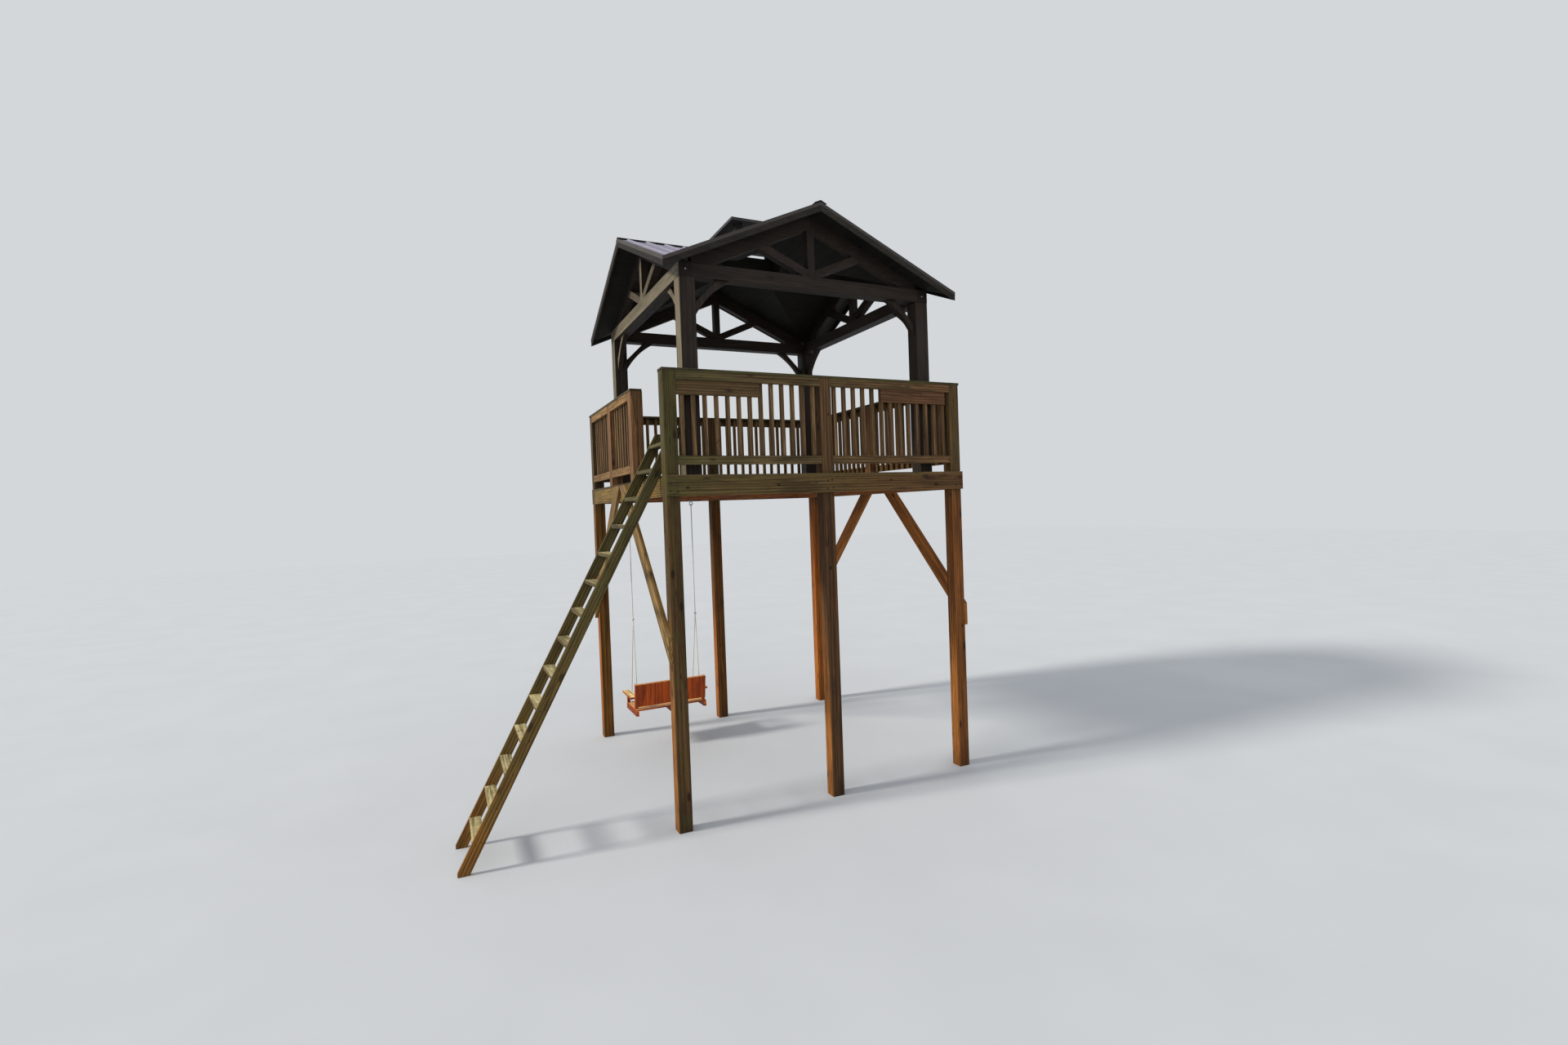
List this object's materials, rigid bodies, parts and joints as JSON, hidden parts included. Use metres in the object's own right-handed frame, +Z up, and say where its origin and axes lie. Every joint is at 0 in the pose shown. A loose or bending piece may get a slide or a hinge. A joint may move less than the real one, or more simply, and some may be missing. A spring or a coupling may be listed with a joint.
{
  "type": "elevated timber shelter",
  "caption": "Open timber lookout on tall posts: railed deck with leaning ladder, cross-gable pavilion roof with knee braces and raised vent, and a bench swing hung underneath.",
  "frame": {"origin": "middle of the front middle post's foot, on the ground", "axes": "+Z up, +Y from the front railing to the back, +X to the right as one faces the front; the ladder leans on the -X side"},
  "size_m": [5.6976, 3.747, 6.7361],
  "materials": {
    "weathered_wood": "weathered pressure-treated lumber, matt",
    "stained_wood": "dark brown stain, matt",
    "roof_metal": "light grey ribbed sheet, satin",
    "edge_trim": "folded edge trim, satin",
    "sign_wood": "reddish-brown board, matt",
    "bench_wood": "orange-brown oiled wood",
    "rope": "laid white rope",
    "hanger_steel": "galvanised"
  },
  "bodies": {
    "shelter": {"posts_front": "weathered_wood", "posts_back": "weathered_wood", "rail_posts": "weathered_wood", "rim_front": "weathered_wood", "rim_back": "weathered_wood", "rim_left": "weathered_wood", "rim_right": "weathered_wood", "joists": "weathered_wood", "deck_boards": "weathered_wood", "braces_left": "weathered_wood", "braces_right": "weathered_wood", "railing_front": "weathered_wood", "railing_back": "weathered_wood", "railing_left": "weathered_wood", "railing_right": "weathered_wood", "rail_caps_front_back": "weathered_wood", "rail_caps_sides": "weathered_wood", "ladder_stringers": "weathered_wood", "ladder_treads": "weathered_wood", "pavilion_posts": "stained_wood", "tie_beam_front": "stained_wood", "tie_beam_back": "stained_wood", "tie_beam_left": "stained_wood", "tie_beam_right": "stained_wood", "knee_braces": "stained_wood", "king_posts": "stained_wood", "truss_rafters": "stained_wood", "truss_struts": "stained_wood", "roof_boards_front_back": "stained_wood", "roof_boards_sides": "stained_wood", "rake_boards_left_hand": "stained_wood", "rake_boards_right_hand": "stained_wood", "vent_curb": "stained_wood", "roof_metal_front_back": "roof_metal", "roof_metal_sides": "roof_metal", "ridge_caps": "roof_metal", "vent_cap": "roof_metal", "rake_trim_left_hand": "edge_trim", "rake_trim_right_hand": "edge_trim", "sign_boards": "sign_wood", "rope_hangers": "hanger_steel"},
    "bench_swing": {"bench_seat": "bench_wood", "bench_back": "bench_wood", "bench_arms": "bench_wood", "bench_ropes": "rope"}
  },
  "joints": [
    {"name": "bench_swing_hinge", "type": "hinge", "parent": "shelter", "child": "bench_swing", "pos_m": [-1.07, 2.785, 3.284], "axis": [1, 0, 0], "range_deg": [-25, 25]}
  ]
}
